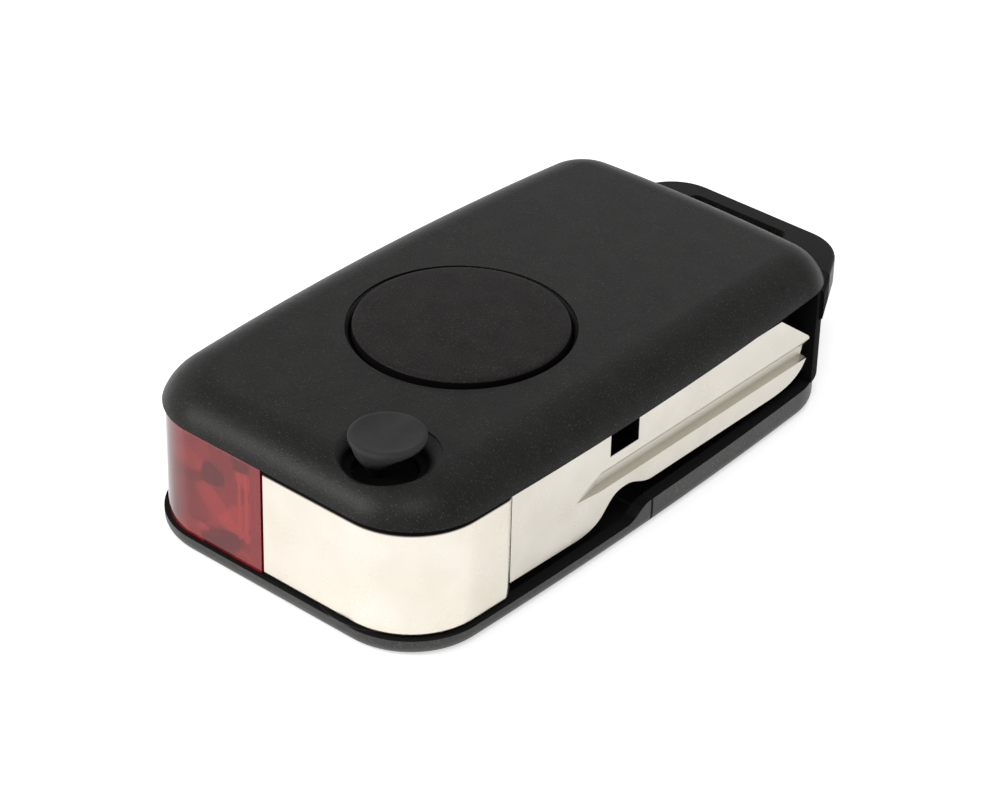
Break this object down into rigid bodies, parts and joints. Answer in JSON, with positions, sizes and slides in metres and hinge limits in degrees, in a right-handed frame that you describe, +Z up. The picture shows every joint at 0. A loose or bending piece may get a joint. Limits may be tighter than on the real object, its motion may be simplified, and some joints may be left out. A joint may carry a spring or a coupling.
{
  "type": "flip key remote",
  "caption": "Folding car key remote: moulded case with a round button, infrared window, turning metal head with a flat blade, and a loop for a key ring.",
  "frame": {"origin": "middle of the whole outline seen from above, on the surface that the folded key lies on", "axes": "+Z up through the button, +X towards the side that the blade folds into, -Y towards the turning head and the window, +Y towards the key ring lug"},
  "size_m": [0.035, 0.0649, 0.018],
  "materials": {
    "black_plastic": "fine grained black moulded plastic",
    "button_plastic": "smooth matt black plastic",
    "red_window": "clear red moulded plastic",
    "satin_nickel": "satin nickel plating on a cast head",
    "blade_nickel": "milled blade with nickel plating",
    "steel": "bright steel",
    "rubber": "grey silicone",
    "board": "green solder mask",
    "chip": "black moulded package",
    "aluminium": "plain can",
    "contact": "plated spring strip",
    "diode": "dark tinted lens"
  },
  "bodies": {
    "case": {"upper_cover": "black_plastic", "front_cover": "black_plastic", "middle_frame": "black_plastic", "infrared_window": "red_window", "spring_cap": "black_plastic", "button_mat": "rubber", "circuit_board": "board", "button_switch": "steel", "controller_chip": "chip", "clock_crystal": "steel", "buffer_capacitor": "aluminium", "lower_cell": "steel", "upper_cell": "steel", "upper_contact": "contact", "side_contact": "contact", "case_screws": "steel", "infrared_diode_1": "diode", "infrared_diode_2": "diode"},
    "head": {"flip_head": "satin_nickel", "key_blade": "blade_nickel", "blade_pin": "steel", "flip_spring": "steel"},
    "release": {"release_button": "button_plastic"},
    "button": {"main_button": "button_plastic"},
    "battery_door": {"battery_cover": "black_plastic"}
  },
  "joints": [
    {"name": "head_turn", "type": "hinge", "parent": "case", "child": "head", "pos_m": [0.0083, -0.02658, 0.0075], "axis": [0, 0, -1], "range_deg": [0, 180]},
    {"name": "release_press", "type": "slide", "parent": "head", "child": "release", "axis": [0, 0, -1], "range_m": [0, 0.0018], "stiffness_N_per_m": 1500, "springref_m": -0.002, "deforming": ["flip_spring"]},
    {"name": "button_press", "type": "slide", "parent": "case", "child": "button", "axis": [0, 0, -1], "range_m": [0, 0.0006], "stiffness_N_per_m": 2000, "springref_m": -0.0004, "deforming": ["button_mat"]},
    {"name": "battery_cover_slide", "type": "slide", "parent": "case", "child": "battery_door", "axis": [0, 1, 0], "range_m": [0, 0.03]}
  ]
}
